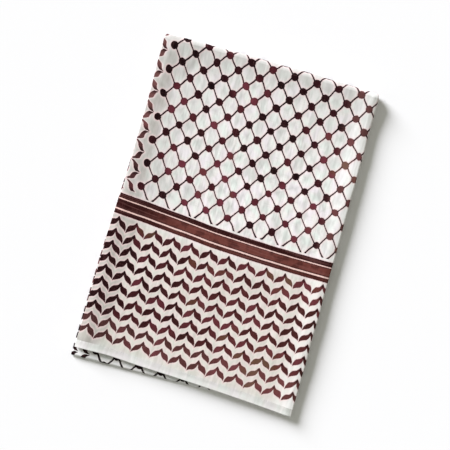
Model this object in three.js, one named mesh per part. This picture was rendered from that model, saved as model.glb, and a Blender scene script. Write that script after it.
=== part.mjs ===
// A long rectangular hijab of thin voile, folded flat for the shelf. Millimetres, +Z up.
//
// The cloth is halved across its width, its two side borders turned in, which makes a doubled
// strip. The strip is then halved twice along its length. Seen from above, the first short end
// lies on top with its hem at -Y, and the strip runs over the top fold at +Y, back under the
// packet, around the middle fold at -Y, up inside to +Y and out again to the second short end.
//
// X runs across the packet and Y along it. The origin is the middle of the box's underside.
import * as THREE from "three";

// The packet in plan. Both long sides lean outwards a little towards the hem.
const LENGTH = 483;              // top fold to the lowest edge
const LEFT_TOP = 161;            // half widths at the top fold and at the hem end
const LEFT_END = 163.5;
const RIGHT_TOP = 159;
const RIGHT_END = 163.8;
const LEFT_WAIST = 3;            // the left side is drawn in above the middle
const WAIST_AT = 95;
const WAIST_SPREAD = 110;
const TOP_BOW = 2.6;             // the top fold bulges out at its middle

// Heights of the packet's upper face over the surface that it rests on.
const BODY_HEIGHT = 12;
const TOP_FOLD_RISE = 3.4;       // the fourfold turn at the top stands proud
const TOP_FOLD_REACH = 30;
const BORDER_RISE = 1.5;         // the turned-in side borders make the left side thicker
const BORDER_WIDTH = 22;
const BORDER_REACH = 26;
const RIGHT_RISE = 0.9;
const RIGHT_REACH = 16;
const LEFT_ROLL = 2.2;           // the two long sides roll off towards their folds
const LEFT_ROLL_REACH = 9;
const RIGHT_ROLL = 1.5;
const RIGHT_ROLL_REACH = 6;
const END_DROP = 1.3;            // the loose ends lie flatter
const END_REACH = 90;
const WAVE_HEIGHT = 0.35;        // slack in the upper face
const WAVE_LENGTH = 210;

const GAP = 0.3;                 // left between solids that touch
const HEM_WIDTH = 11;            // the turned and stitched hem of a short end
const HEM_EXTRA = 0.5;           // a hem is thicker than the cloth that it ends
const HIDDEN_START = -170;       // from here to the top fold the inner layers are one solid

// How far each end of the cloth lies above the packet's lowest edge, at the left and the right,
// and how far its line bows upwards between them.
const FIRST_HEM = { left: 12.9, right: 1, bow: 4 };
const SECOND_HEM = { left: 17, right: 4.5, bow: 4 };
const MIDDLE_FOLD = { left: 0, right: 11, bow: -1.2 };

// The doubled strip's two edges in section, in units of its thickness: how far in from the
// outermost point, and how high over the strip's middle. Both run downwards.
const FOLDED_EDGE = [            // the cloth's own middle fold: one round turn
  { inwards: 0.5, height: 0.5 },
  { inwards: 0.14, height: 0.34 },
  { inwards: 0, height: 0 },
  { inwards: 0.14, height: -0.34 },
  { inwards: 0.5, height: -0.5 },
];
const TURNED_EDGE = [            // two turned-in side borders, one on the other
  { inwards: 0.34, height: 0.5 },
  { inwards: 0.06, height: 0.4 },
  { inwards: 0, height: 0.25 },
  { inwards: 0.06, height: 0.1 },
  { inwards: 0.42, height: 0 },
  { inwards: 0.06, height: -0.1 },
  { inwards: 0, height: -0.25 },
  { inwards: 0.06, height: -0.4 },
  { inwards: 0.34, height: -0.5 },
];

// How far each layer of the strip draws back from the packet's two long sides.
const SET_BACK = { first: 0, second: 1.8, inner: 2.4, under: 0.8 };
const TOP_CORNER = 1.6;          // the same at the top fold's outermost line

// How finely the faces are divided.
const COLUMNS = 20;
const CROWDING = 0.13;           // columns lie closer together near the two sides
const TURN_STEPS = 4;            // for each quarter turn of a fold
const LAST_INNER_ANGLE = 1.3;    // the inner turn is blunt where it ends inside the top fold

const mix = (from, to, share) => from + (to - from) * share;
const bell = (distance, reach) => Math.exp(-((distance / reach) ** 2));
const steps = (count) => Array.from({ length: count + 1 }, (_, k) => k / count);

const downLength = (y) => 0.5 - y / LENGTH;
const leftEdge = (y) =>
  -mix(LEFT_TOP, LEFT_END, downLength(y)) + LEFT_WAIST * bell(y - WAIST_AT, WAIST_SPREAD);
const rightEdge = (y) => mix(RIGHT_TOP, RIGHT_END, downLength(y));
const topFold = (x) => LENGTH / 2 - TOP_BOW * (x / LEFT_TOP) ** 2;

function endLine({ left, right, bow }, x) {
  const across = (x + LEFT_END) / (LEFT_END + RIGHT_END);
  return -LENGTH / 2 + mix(left, right, across) + 4 * bow * across * (1 - across);
}

function packetHeight(x, y) {
  const fromLeft = x - leftEdge(y);
  const fromRight = rightEdge(y) - x;
  const slack = Math.sin(2 * Math.PI * (0.8 * x - y) / WAVE_LENGTH);
  return BODY_HEIGHT
    + TOP_FOLD_RISE * bell(topFold(x) - y, TOP_FOLD_REACH)
    + BORDER_RISE * bell(Math.max(0, fromLeft - BORDER_WIDTH), BORDER_REACH)
    + RIGHT_RISE * bell(fromRight, RIGHT_REACH)
    - END_DROP * bell(y + LENGTH / 2, END_REACH)
    + WAVE_HEIGHT * slack
    - LEFT_ROLL * bell(fromLeft, LEFT_ROLL_REACH)
    - RIGHT_ROLL * bell(fromRight, RIGHT_ROLL_REACH);
}

// Four doubled layers and the gaps between them fill the height.
const layerThickness = (height) => (height / 2 - 1.5 * GAP) / 2;

// A stop says where the strip's middle surface lies at one place along it. For a given x it
// gives y, z, the strip's thickness, and the direction (outY, outZ) of its outer face.
// On the flat, level says how many layers and gaps lie over or under the strip's middle.
function onFlat(along, level, outZ) {
  return (x) => {
    const y = along(x);
    const height = packetHeight(x, y);
    const thick = layerThickness(height);
    return { y, z: level(height, thick), thick, outY: 0, outZ };
  };
}
const firstLayer = (along) => onFlat(along, (height, thick) => height - thick / 2, 1);
const secondLayer = (along) => onFlat(along, (height, thick) => height - 1.5 * thick - GAP, 1);
const innerLayer = (along) => onFlat(along, (height, thick) => 1.5 * thick + GAP, 1);
const underLayer = (along) => onFlat(along, (height, thick) => thick / 2, -1);

function aroundTopFold(angle) {
  return (x) => {
    const height = packetHeight(x, topFold(x));
    const thick = layerThickness(height);
    const radius = (height - thick) / 2;
    return {
      y: topFold(x) - height / 2 + radius * Math.sin(angle),
      z: height / 2 + radius * Math.cos(angle),
      thick,
      outY: Math.sin(angle),
      outZ: Math.cos(angle),
    };
  };
}

function aroundMiddleFold(angle) {
  return (x) => {
    const edge = endLine(MIDDLE_FOLD, x);
    const thick = layerThickness(packetHeight(x, edge));
    const radius = (thick + GAP) / 2;
    return {
      y: edge + radius + thick / 2 - radius * Math.sin(angle),
      z: thick + GAP / 2 - radius * Math.cos(angle),
      thick,
      outY: -Math.sin(angle),
      outZ: -Math.cos(angle),
    };
  };
}

const topTurnStart = (x) => topFold(x) - packetHeight(x, topFold(x)) / 2;

// Places between the two edges, closer together where the sides rise.
const columnsBetween = (left, right) => steps(COLUMNS).slice(1, -1).map((share) =>
  mix(left, right, share - CROWDING * Math.sin(2 * Math.PI * share)));

// One ring of points around the strip at a stop: over the outer face from left to right, down
// the folded edge, back along the inner face and up the turned edge. A hem is thicker than its
// cloth by extra, all of it on the outer face, and an open end shows the slit between the
// strip's two thicknesses of cloth, which runs from the turned edge to the folded one.
function stripRing({ stop, setBack, extra = 0, open = false }) {
  const { y, thick } = stop(0);
  const place = (x, height) => {
    const at = stop(x);
    const out = height * at.thick + (height + 0.5) * extra;
    return new THREE.Vector3(x, at.y + out * at.outY, at.z + out * at.outZ);
  };
  const left = leftEdge(y) + setBack;
  const right = rightEdge(y) - setBack;
  const turned = TURNED_EDGE.map((point) => place(left + point.inwards * thick, point.height));
  const folded = FOLDED_EDGE.map((point) => place(right - point.inwards * thick, point.height));
  const across = columnsBetween(turned[0].x, folded[0].x);
  if (open) {
    const lip = GAP / 2 / thick;
    const slit = [...across, folded[0].x];
    turned.splice(TURNED_EDGE.length >> 1, 1,
      ...slit.map((x) => place(x, lip)),
      ...slit.reverse().map((x) => place(x, -lip)));
  }
  return [
    ...across.map((x) => place(x, 0.5)),
    ...folded,
    ...across.reverse().map((x) => place(x, -0.5)),
    ...turned.reverse(),
  ];
}

// One ring around the two inner layers. Each keeps its own edges, and the angle is that of the
// top fold's turn, inside which the two are drawn together: 0 on the flat.
function hiddenRing({ along, angle = 0 }) {
  const place = (x, height) => {
    const total = packetHeight(x, along(x));
    const half = total / 2 - layerThickness(total) - GAP;
    const y = along(x) + half * Math.sin(angle);
    return new THREE.Vector3(x, y, total / 2 + height * half * Math.cos(angle));
  };
  const thick = layerThickness(packetHeight(0, along(0)));
  const layers = [
    { setBack: SET_BACK.second, level: 0.5 },
    { setBack: SET_BACK.inner, level: -0.5 },
  ];
  const edge = (profile, side, inwards) => layers.flatMap(({ setBack, level }) =>
    profile.map((point) =>
      place(side + inwards * (setBack + point.inwards * thick), level + point.height)));
  const turned = edge(TURNED_EDGE, leftEdge(along(0)), 1);
  const folded = edge(FOLDED_EDGE, rightEdge(along(0)), -1);
  const across = columnsBetween(turned[0].x, folded[0].x);
  return [
    ...across.map((x) => place(x, 1)),
    ...folded,
    ...across.reverse().map((x) => place(x, -1)),
    ...turned.reverse(),
  ];
}

// A closed solid through rings of equal length, capped at both ends.
function loft(rings) {
  const size = rings[0].length;
  const index = [];
  for (let row = 0; row + 1 < rings.length; row += 1) {
    for (let k = 0; k < size; k += 1) {
      const a = row * size + k;
      const b = row * size + (k + 1) % size;
      index.push(a, b, a + size, b, b + size, a + size);
    }
  }
  const lastRow = (rings.length - 1) * size;
  capFaces(rings[0]).forEach(([a, b, c]) => index.push(a, c, b));
  capFaces(rings.at(-1)).forEach(([a, b, c]) => index.push(lastRow + a, lastRow + b, lastRow + c));
  const geometry = new THREE.BufferGeometry();
  const positions = rings.flat().flatMap((point) => point.toArray());
  geometry.setAttribute("position", new THREE.Float32BufferAttribute(positions, 3));
  geometry.setIndex(index);
  return outwards(geometry);
}

// An end cap's triangles, wound as the ring is. They are found in the flat: x, and y or z,
// whichever the end spreads along. The cap is cut at every column first, so that no triangle
// spans the bow of an end's line.
function capFaces(ring) {
  const box = new THREE.Box3().setFromPoints(ring.filter((point) => Math.abs(point.x) < 40));
  const size = box.getSize(new THREE.Vector3());
  const upright = size.z > size.y;
  const flat = ring.map((point) => new THREE.Vector2(point.x, upright ? point.z : point.y));
  const inColumn = ({ x }) => ring.flatMap((point, k) => (point.x === x ? [k] : []))
    .sort((a, b) => flat[a].y - flat[b].y);
  const cuts = ring.slice(0, COLUMNS - 1).map(inColumn)
    .flatMap((column) => column.flatMap((k, place) => (place % 2 ? [[column[place - 1], k]] : [])));
  return cutUp(ring.map((_, k) => k), cuts).flatMap((polygon) => {
    const outline = polygon.map((k) => flat[k]);
    const faces = THREE.ShapeUtils.triangulateShape(outline, []);
    const first = faces[0].map((k) => outline[k]);
    const sameWay = THREE.ShapeUtils.isClockWise(first) === THREE.ShapeUtils.isClockWise(flat);
    return faces.map((face) => (sameWay ? face : [...face].reverse()).map((k) => polygon[k]));
  });
}

// The polygons that are left when one is cut along lines between its corners.
function cutUp(polygon, cuts) {
  return cuts.reduce((polygons, cut) => polygons.flatMap((part) => {
    const [from, to] = cut.map((k) => part.indexOf(k)).sort((a, b) => a - b);
    const pieces = [part.slice(from, to + 1), [...part.slice(to), ...part.slice(0, from + 1)]];
    return from < 0 ? [part] : pieces;
  }), [polygon]);
}

// Turns every face over if they point inwards.
function outwards(geometry) {
  const corners = geometry.toNonIndexed().getAttribute("position");
  const corner = (k) => new THREE.Vector3().fromBufferAttribute(corners, k);
  let volume = 0;
  for (let k = 0; k < corners.count; k += 3) {
    volume += corner(k).dot(corner(k + 1).cross(corner(k + 2)));
  }
  if (volume < 0) {
    geometry.setIndex([...geometry.getIndex().array].reverse());
  }
  geometry.computeVertexNormals();
  return geometry;
}

const cloth = { color: 0xeeeae6, roughness: 0.9, metalness: 0 };

function piece(name, rings) {
  const mesh = new THREE.Mesh(loft(rings), new THREE.MeshStandardMaterial(cloth));
  mesh.name = name;
  return mesh;
}

// A hem: the last HEM_WIDTH of a short end, turned twice and stitched down.
function hem(name, layer, { line, setBack, extra }) {
  return piece(name, steps(2).map((share) => {
    const stop = layer((x) => endLine(line, x) + HEM_WIDTH * share);
    return stripRing({ stop, setBack, extra, open: true });
  }));
}

const pastHem = (line) => (x) => endLine(line, x) + HEM_WIDTH + GAP;

// The first end's stretch, on top: from its hem to the top fold's outermost line.
function firstEndPanel() {
  const start = pastHem(FIRST_HEM);
  const flat = steps(20).map((share) => {
    const crowded = Math.sin(share * Math.PI / 2);
    const stop = firstLayer((x) => mix(start(x), topTurnStart(x), crowded));
    return { stop, setBack: SET_BACK.first };
  });
  const turn = steps(TURN_STEPS).slice(1).map((share) => {
    const stop = aroundTopFold(share * Math.PI / 2);
    return { stop, setBack: mix(SET_BACK.first, TOP_CORNER, share) };
  });
  return piece("first_end_panel", [...flat, ...turn].map(stripRing));
}

// The stretch that the packet rests on: from the top fold's outermost line, flat along the
// underside, around the middle fold and a hand's width back up inside.
function underPanel() {
  const gapAngle = GAP / (BODY_HEIGHT / 2);
  const turn = steps(TURN_STEPS).slice(0, -1).map((share) => {
    const stop = aroundTopFold(Math.PI / 2 * (1 + share) + gapAngle * (1 - share));
    return { stop, setBack: mix(TOP_CORNER, SET_BACK.under, share) };
  });
  const flatEnd = (x) => aroundMiddleFold(0)(x).y;
  const flat = steps(14).slice(0, -1).map((share) => {
    const crowded = 1 - Math.cos(share * Math.PI / 2);
    const stop = underLayer((x) => mix(topTurnStart(x), flatEnd(x), crowded));
    return { stop, setBack: SET_BACK.under };
  });
  const fold = steps(2 * TURN_STEPS).map((share) => {
    const stop = aroundMiddleFold(share * Math.PI);
    return { stop, setBack: mix(SET_BACK.under, SET_BACK.inner, share) };
  });
  const inside = steps(4).slice(1).map((share) => {
    const stop = innerLayer((x) => mix(flatEnd(x), HIDDEN_START - GAP, share));
    return { stop, setBack: SET_BACK.inner };
  });
  return piece("under_panel", [...turn, ...flat, ...fold, ...inside].map(stripRing));
}

// The second end's stretch, just under the first, as far as the inner layers' one solid.
function secondEndPanel() {
  const start = pastHem(SECOND_HEM);
  return piece("second_end_panel", steps(4).map((share) => {
    const stop = secondLayer((x) => mix(start(x), HIDDEN_START - GAP, share));
    return stripRing({ stop, setBack: SET_BACK.second });
  }));
}

// The two inner layers and their own turn inside the top fold, as one solid with layered sides.
function hiddenLayers() {
  const flat = steps(14).map((share) => {
    const crowded = Math.sin(share * Math.PI / 2);
    return { along: (x) => mix(HIDDEN_START, topTurnStart(x), crowded) };
  });
  const turn = steps(TURN_STEPS).slice(1).map((share) =>
    ({ along: topTurnStart, angle: LAST_INNER_ANGLE * share }));
  return piece("hidden_layers", [...flat, ...turn].map(hiddenRing));
}

const hijab = new THREE.Group();
hijab.add(
  firstEndPanel(),
  hem("first_end_hem", firstLayer,
    { line: FIRST_HEM, setBack: SET_BACK.first, extra: HEM_EXTRA }),
  secondEndPanel(),
  hem("second_end_hem", secondLayer,
    { line: SECOND_HEM, setBack: SET_BACK.second, extra: 0 }),
  underPanel(),
  hiddenLayers(),
);

// The packet's underside is at z = 0 already; its middle goes over the origin.
const middle = new THREE.Box3().setFromObject(hijab).getCenter(new THREE.Vector3());
hijab.position.set(-middle.x, -middle.y, 0);

export default hijab;
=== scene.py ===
import math
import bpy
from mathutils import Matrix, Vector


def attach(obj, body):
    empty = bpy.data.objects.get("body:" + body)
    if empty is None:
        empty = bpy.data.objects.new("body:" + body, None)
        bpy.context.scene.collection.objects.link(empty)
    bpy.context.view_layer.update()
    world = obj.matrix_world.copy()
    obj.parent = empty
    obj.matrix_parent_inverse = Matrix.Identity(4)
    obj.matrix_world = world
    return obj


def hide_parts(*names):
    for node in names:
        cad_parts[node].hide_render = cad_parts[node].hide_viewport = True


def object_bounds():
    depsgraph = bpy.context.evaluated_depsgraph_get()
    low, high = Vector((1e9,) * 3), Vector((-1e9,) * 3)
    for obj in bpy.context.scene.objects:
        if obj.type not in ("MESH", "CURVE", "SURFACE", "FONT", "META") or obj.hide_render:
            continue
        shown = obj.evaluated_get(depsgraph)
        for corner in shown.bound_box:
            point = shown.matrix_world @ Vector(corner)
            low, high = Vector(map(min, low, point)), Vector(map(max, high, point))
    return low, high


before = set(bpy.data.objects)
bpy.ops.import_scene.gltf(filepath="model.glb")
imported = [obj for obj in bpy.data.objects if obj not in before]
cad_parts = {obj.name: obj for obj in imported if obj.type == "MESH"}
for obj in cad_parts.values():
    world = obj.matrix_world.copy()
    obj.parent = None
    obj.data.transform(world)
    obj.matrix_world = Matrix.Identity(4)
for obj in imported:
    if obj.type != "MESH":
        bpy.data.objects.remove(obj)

from types import SimpleNamespace

import bpy
import numpy as np
from mathutils import Vector, noise

cad_low, cad_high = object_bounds()


# ---- The first end's stretch ---------------------------------------------------------------
# The upper side of the packet: off-white voile with a screen-printed net, stripes and leaves.
# It is halved across its width with both side borders turned in, and runs from just above the
# first hem, over the top fold and a little way onto the underside. Lengths are in millimetres.

MM = 0.001
LENGTH = (cad_high.y - cad_low.y) / MM
HALF_WIDTH = (cad_high.x - cad_low.x) / 2 / MM
LEFT_FLARE = 2.5  # the sides lean outwards by this much towards the hem end
RIGHT_FLARE = 4.8
WAIST, WAIST_AT, WAIST_SPREAD = 3.0, 95.0, 110.0
TOP_BOW = 2.6

BODY_HEIGHT = 12.0
TOP_FOLD_RISE, TOP_FOLD_REACH = 3.4, 30.0
BORDER_RISE, BORDER_WIDTH, BORDER_REACH = 1.5, 22.0, 26.0
RIGHT_RISE, RIGHT_REACH = 0.9, 16.0
END_DROP, END_REACH = 1.3, 90.0
WAVE_HEIGHT, WAVE_LENGTH = 0.35, 210.0
LEFT_ROLL, LEFT_ROLL_REACH = 2.2, 9.0  # the sides roll off towards their folds
RIGHT_ROLL, RIGHT_ROLL_REACH = 1.5, 6.0

GAP = 0.3  # between two doubled layers
VOILE = 0.45  # one thickness of cloth
HEM_WIDTH = 11.0
TUCK = 26.0  # how much of each side border is turned in
TUCK_SHARE = 0.3  # how high a turned-in border lies in its half of the strip
FOLD_STRETCH = 1.5  # a side fold is longer than it is high
FIRST_HEM = (12.7, 0.7, 3.0)  # above the packet's lowest edge at the left and the right, and its bow
HEM_LIFT, HEM_LIFT_AT, HEM_LIFT_REACH = 1.5, -112.0, 30.0  # the first hem's line dips back here
EDGE_WAVE = 0.7  # how far the sides of the uppermost layer stray from their lines


def bell(distance, reach):
    return np.exp(-(distance / reach) ** 2)


def mix(first, last, share):
    return first + (last - first) * share


def smooth(value, low, high):
    share = np.clip((value - low) / (high - low), 0, 1)
    return share * share * (3 - 2 * share)


def left_edge(y):
    lean = LEFT_FLARE * (0.5 + y / LENGTH)
    return -(HALF_WIDTH - lean) + WAIST * bell(y - WAIST_AT, WAIST_SPREAD)


def right_edge(y):
    return HALF_WIDTH - RIGHT_FLARE * (0.5 + y / LENGTH)


def top_fold(x):
    wave = 0.25 * np.sin(x / 5.2 + 1.3) + 0.3 * np.sin(x / 13.0 + 4.0)
    return LENGTH / 2 - 0.4 - TOP_BOW * (x / HALF_WIDTH) ** 2 + wave


def end_line(line, x):
    left, right, bow = line
    share = (x + HALF_WIDTH) / (2 * HALF_WIDTH)
    lift = HEM_LIFT * bell(x - HEM_LIFT_AT, HEM_LIFT_REACH) if line is FIRST_HEM else 0
    return -LENGTH / 2 + mix(left, right, share) + 4 * bow * share * (1 - share) + lift


def packet_height(x, y):
    from_left = np.maximum(0, x - left_edge(y))
    from_right = np.maximum(0, right_edge(y) - x)
    return (
        BODY_HEIGHT
        + TOP_FOLD_RISE * bell(top_fold(x) - y, TOP_FOLD_REACH)
        + BORDER_RISE * bell(np.maximum(0, from_left - BORDER_WIDTH), BORDER_REACH)
        + RIGHT_RISE * bell(from_right, RIGHT_REACH)
        - END_DROP * bell(y + LENGTH / 2, END_REACH)
        + WAVE_HEIGHT * np.sin(2 * np.pi * (0.8 * x - y) / WAVE_LENGTH)
        - LEFT_ROLL * bell(from_left, LEFT_ROLL_REACH)
        - RIGHT_ROLL * bell(from_right, RIGHT_ROLL_REACH)
    )


def layer_thickness(height):
    return (height / 2 - 1.5 * GAP) / 2


# A stop gives, for an array of x, the strip's middle surface (y, z), its thickness, and the
# direction (out_y, out_z) of the face that was outermost when the strip was first halved.
def on_flat(along, level, out):
    def stop(x):
        y = along(x)
        height = packet_height(x, y)
        thick = layer_thickness(height)
        return y, level(height, thick), thick, 0 * x, out + 0 * x
    return stop


def first_layer(along):
    return on_flat(along, lambda height, thick: height - thick / 2, 1)


def around_top_fold(angle):
    def stop(x):
        height = packet_height(x, top_fold(x))
        thick = layer_thickness(height)
        radius = (height - thick) / 2
        y = top_fold(x) - height / 2 + radius * math.sin(angle)
        z = height / 2 + radius * math.cos(angle)
        return y, z, thick, math.sin(angle) + 0 * x, math.cos(angle) + 0 * x
    return stop


def top_turn_start(x):
    return top_fold(x) - packet_height(x, top_fold(x)) / 2


# Where a point of the upper side lies on the flat cloth: u across it from the middle of the
# folded strip, v along it with the stripes a little below zero. The cloth lies slightly askew
# and eased, so its threads aren't quite parallel to the packet's sides: they lean and bend by
# a few millimetres at its ends, and tilt and sag at its sides.
LEAN, BEND, END_BEND, CORNER_BEND = 10.0, 7.0, 4.0, 2.0
TILT, SAG, CORNER_SAG, SIDE_BEND = 7.0, 5.0, 4.0, 1.0
DIP, DIP_X, DIP_Y, DIP_REACH = 1.6, -140.0, 165.0, 60.0


def on_cloth(x, y):
    across, along = x / 160, y / 240
    u = x + LEAN * along + BEND * along ** 2 - END_BEND * along ** 3
    u = u + CORNER_BEND * across * along - SIDE_BEND * across ** 2
    v = y + TILT * across - SAG * across ** 2 - CORNER_SAG * across ** 2 * along
    v = v + DIP * bell(x - DIP_X, DIP_REACH) * bell(y - DIP_Y, DIP_REACH)
    return u, v


# The strip in section is one path from selvedge to selvedge: in under the left fold, over the
# upper thickness, round the right fold, back along the lower thickness and in again.
STRETCHES = {"tuck": 4, "turn": 6, "upper": 92, "fold": 10, "lower": 36}


def section(left, right, half_left, half_right, steps):
    """x, height share and stretch of each point of the section, for half thicknesses at the sides."""
    lobe = (1 - TUCK_SHARE) / 2
    reach_left = lobe * half_left * FOLD_STRETCH
    reach_right = half_right * FOLD_STRETCH
    turn = np.linspace(-np.pi / 2, np.pi / 2, steps["turn"] + 1)
    turn_x = left + reach_left * (1 - np.cos(turn))
    turn_share = (1 + TUCK_SHARE) / 2 + lobe * np.sin(turn)
    tuck_x = np.linspace(left + TUCK, left + reach_left, steps["tuck"] + 1)[:-1]
    fold = np.linspace(np.pi / 2, -np.pi / 2, steps["fold"] + 1)
    fold_x = right - reach_right * (1 - np.cos(fold))

    def run(count):
        share = np.linspace(0, 1, count + 1)[1:-1]
        share = share - 0.09 * np.sin(2 * np.pi * share)
        return mix(turn_x[-1], fold_x[0], share)
    upper, lower = run(steps["upper"]), run(steps["lower"])[::-1]
    tuck_share = 0 * tuck_x + TUCK_SHARE
    x = np.concatenate([tuck_x, turn_x, upper, fold_x, lower, turn_x[::-1], tuck_x[::-1]])
    share = np.concatenate([tuck_share, turn_share, 0 * upper + 1, np.sin(fold), 0 * lower - 1,
                            -turn_share[::-1], -tuck_share])
    stretch = np.concatenate([0 * tuck_x, 0 * turn_x + 1, 0 * upper + 2, 0 * fold_x + 3,
                              0 * lower + 4, 0 * turn_x + 5, 0 * tuck_x + 6])
    return x, share, stretch


def station(stop, set_back, flat, ripple=None, hem=0, end=VOILE):
    """One row of a strip: its stop, how far its sides are set back at the left and the right, its
    place on the flat cloth, its ripple, what a hem adds, and its thickness at a hem's end."""
    return {"stop": stop, "set_back": set_back, "flat": flat, "ripple": ripple, "hem": hem, "end": end}


def strip_grid(stations, steps):
    """The middle surface of the cloth along the stations, its place on the flat cloth, its
    thickness, and the stretch that each column belongs to."""
    points, places, thicknesses = [], [], []
    for row in stations:
        stop = row["stop"]
        row_y = float(stop(np.zeros(1))[0][0])
        left = left_edge(row_y) + row["set_back"][0]
        right = right_edge(row_y) - row["set_back"][1]
        halves = (stop(np.array([left + 2, right - 2]))[2] - VOILE) / 2
        x, share, stretch = section(left + VOILE / 2, right - VOILE / 2, *halves, steps)
        y, z, thick, out_y, out_z = stop(x)
        on_run = (stretch >= 2) & (stretch <= 4)
        cloth = VOILE + row["hem"] * on_run * smooth(x - left, 1, 9)
        lift = share * (thick - cloth) / 2
        if row["ripple"]:
            lift = lift + (stretch == 2) * row["ripple"](x, y)
        points.append(np.stack([x, y + lift * out_y, z + lift * out_z], 1))
        u, v = row["flat"](x, y)
        upper = np.flatnonzero(stretch == 2)
        first, last = upper[0] - 1, upper[-1] + 1
        column = np.arange(len(x))
        travel = np.concatenate([[0], np.cumsum(np.hypot(np.diff(x), np.diff(lift)))])
        u = np.where(column < first, u[first] + travel - travel[first], u)
        u = np.where(column > last, u[last] + travel - travel[last], u)
        places.append(np.stack([u, v], 1))
        thicknesses.append(cloth + 0 * x)
    return np.array(points), np.array(places), np.array(thicknesses), stretch


def unit(vectors):
    return vectors / np.maximum(np.linalg.norm(vectors, axis=-1, keepdims=True), 1e-9)


def placed(name, data):
    thing = bpy.data.objects.new(name, data)
    bpy.context.scene.collection.objects.link(thing)
    return thing


def cloth_shell(name, grid, places, thickness, weights):
    """A closed thin shell on a grid of points in millimetres. Its map Cloth holds the place on
    the flat cloth, Inside is 1 on the cloth's back, Turned says how far it is turned to the left
    or the top, towards the lamp, for the material's painted shade, and OFBake gives the face most
    of the room."""
    rows, columns = grid.shape[:2]
    normal = unit(np.cross(unit(np.gradient(grid, axis=1)), unit(np.gradient(grid, axis=0))))
    half = np.broadcast_to(np.asarray(thickness, float) / 2, (rows, columns))[..., None]
    points = np.concatenate([(grid + normal * half).reshape(-1, 3),
                             (grid - normal * half).reshape(-1, 3)]) * MM
    index = np.arange(rows * columns).reshape(rows, columns)
    back = index + rows * columns
    cell = [index[:-1, :-1], index[:-1, 1:], index[1:, 1:], index[1:, :-1]]
    outer = np.stack(cell, -1).reshape(-1, 4)
    inner = outer[:, ::-1] + rows * columns
    rims = [
        np.stack([index[0, 1:], index[0, :-1], back[0, :-1], back[0, 1:]], -1),
        np.stack([index[-1, :-1], index[-1, 1:], back[-1, 1:], back[-1, :-1]], -1),
        np.stack([index[:-1, 0], index[1:, 0], back[1:, 0], back[:-1, 0]], -1),
        np.stack([index[1:, -1], index[:-1, -1], back[:-1, -1], back[1:, -1]], -1),
    ]
    faces = np.concatenate([outer, inner, *rims])

    mesh = bpy.data.meshes.new(name)
    mesh.from_pydata(points.tolist(), [], faces.tolist())
    mesh.update()
    flat = np.concatenate([places.reshape(-1, 2)] * 2)
    mesh.uv_layers.new(name="Cloth").uv.foreach_set("vector", flat[faces].astype(np.float32).ravel())

    across = np.concatenate([[0], np.cumsum(weights)])
    across = np.broadcast_to(across / across[-1], (rows, columns))
    steps = np.linalg.norm(np.diff(grid, axis=0), axis=2).mean(1)
    along = np.concatenate([[0], np.cumsum(steps)])
    along = np.broadcast_to((along / along[-1])[:, None], (rows, columns))
    chart = np.stack([across, along], -1).reshape(-1, 2)
    room = np.array([[0.004, 0.86], [0.872, 0.975], [0.982, 0.996]])
    face_chart = [chart * [low_high[1] - low_high[0], 0.992] + [low_high[0], 0.004] for low_high in room]
    rim_faces = np.concatenate(rims)
    rim_chart = face_chart[2][rim_faces % (rows * columns)]
    rim_chart[..., 0] = np.where(rim_faces >= rows * columns, room[2][1], room[2][0])
    row_rims = 2 * (columns - 1)
    rim_chart[:row_rims, :, 1] = chart[rim_faces[:row_rims] % (rows * columns)][..., 0] * 0.9 + 0.05
    bake = np.concatenate([face_chart[0][outer], face_chart[1][inner - rows * columns], rim_chart])
    mesh.uv_layers.new(name="OFBake").uv.foreach_set("vector", bake.astype(np.float32).ravel())
    inside = mesh.attributes.new("Inside", "FLOAT", "POINT")
    inside.data.foreach_set("value", np.repeat([0.0, 1.0], rows * columns).astype(np.float32))
    # Turned drives a painted shade on faces turned towards the lamp at the upper left.
    turned = np.clip(np.maximum(-normal[..., 0], normal[..., 1]), 0, 1).ravel()
    greyed = mesh.attributes.new("Turned", "FLOAT", "POINT")
    greyed.data.foreach_set("value", np.tile(turned, 2).astype(np.float32))
    mesh.polygons.foreach_set("use_smooth", np.arange(len(faces)) < 2 * len(outer))
    rim_edges = {tuple(sorted(pair)) for face in rim_faces.tolist()
                 for pair in zip(face, face[1:] + face[:1])}
    for edge in mesh.edges:
        edge.use_edge_sharp = tuple(sorted(edge.vertices)) in rim_edges
    return placed(name, mesh)


def chart_weights(stretch, grid, hidden=0.12):
    """How much of the bake's width each step across gets: little where no one looks."""
    step = np.linalg.norm(np.diff(grid, axis=1), axis=2).mean(0)
    share = np.select([(stretch == 0) | (stretch == 6), stretch >= 4], [0.15, hidden], 1.0)
    return step * share[1:]


def operator(operation):
    """A method that adds a Math node."""
    return lambda first, *others: first.math(operation, *others)


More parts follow.
